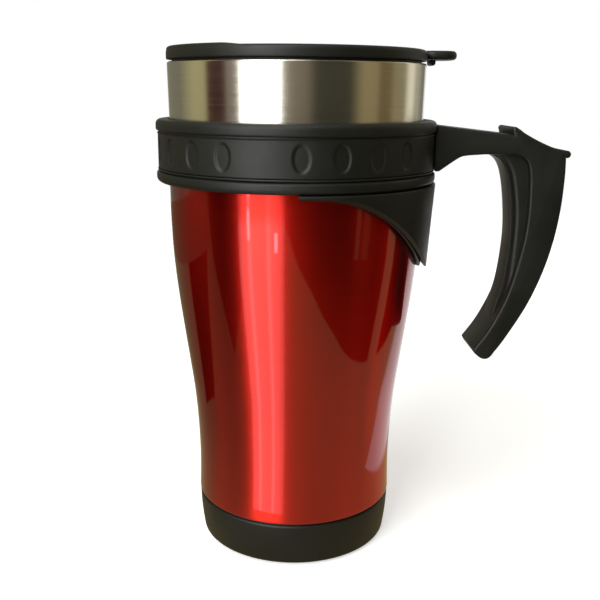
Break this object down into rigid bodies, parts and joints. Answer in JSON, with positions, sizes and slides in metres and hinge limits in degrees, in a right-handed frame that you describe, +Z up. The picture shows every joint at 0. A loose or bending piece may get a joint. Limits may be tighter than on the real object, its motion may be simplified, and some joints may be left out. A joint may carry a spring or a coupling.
{
  "type": "insulated travel mug",
  "caption": "Double-walled steel travel mug with a lacquered shell, black collar with a hooked handle, base cap and a lift-off lid with a slider.",
  "frame": {"origin": "on the mug's axis, in the plane that it stands on", "axes": "+Z up along the mug's axis, +X out through the handle, -X towards the side that one drinks from"},
  "size_m": [0.1362, 0.0928, 0.1682],
  "materials": {
    "steel": "brushed round the mug, satin",
    "red_lacquer": "clear red lacquer over brushed metal, glossy",
    "black_plastic": "fine moulded grain, satin",
    "rubber": "matt",
    "silicone": "milky, smooth",
    "screw_steel": "zinc plated"
  },
  "bodies": {
    "mug": {"inner_cup": "steel", "outer_shell": "red_lacquer", "shell_top_seal": "rubber", "base_cap": "black_plastic", "base_seal_ring": "rubber", "base_pad": "rubber", "collar_ring": "black_plastic", "collar_liner": "rubber", "handle_apron": "black_plastic", "handle": "black_plastic", "handle_screw_lower": "screw_steel", "handle_screw_upper": "screw_steel"},
    "lid": {"lid_shell": "black_plastic", "lid_gasket": "silicone"},
    "slider": {"drink_slider": "black_plastic", "slider_pad": "silicone", "slider_clip": "black_plastic"}
  },
  "joints": [
    {"name": "lid_lift", "type": "slide", "parent": "mug", "child": "lid", "axis": [0, 0, 1], "range_m": [0, 0.08]},
    {"name": "slider_slide", "type": "slide", "parent": "lid", "child": "slider", "axis": [1, 0, 0], "range_m": [0, 0.013]}
  ]
}
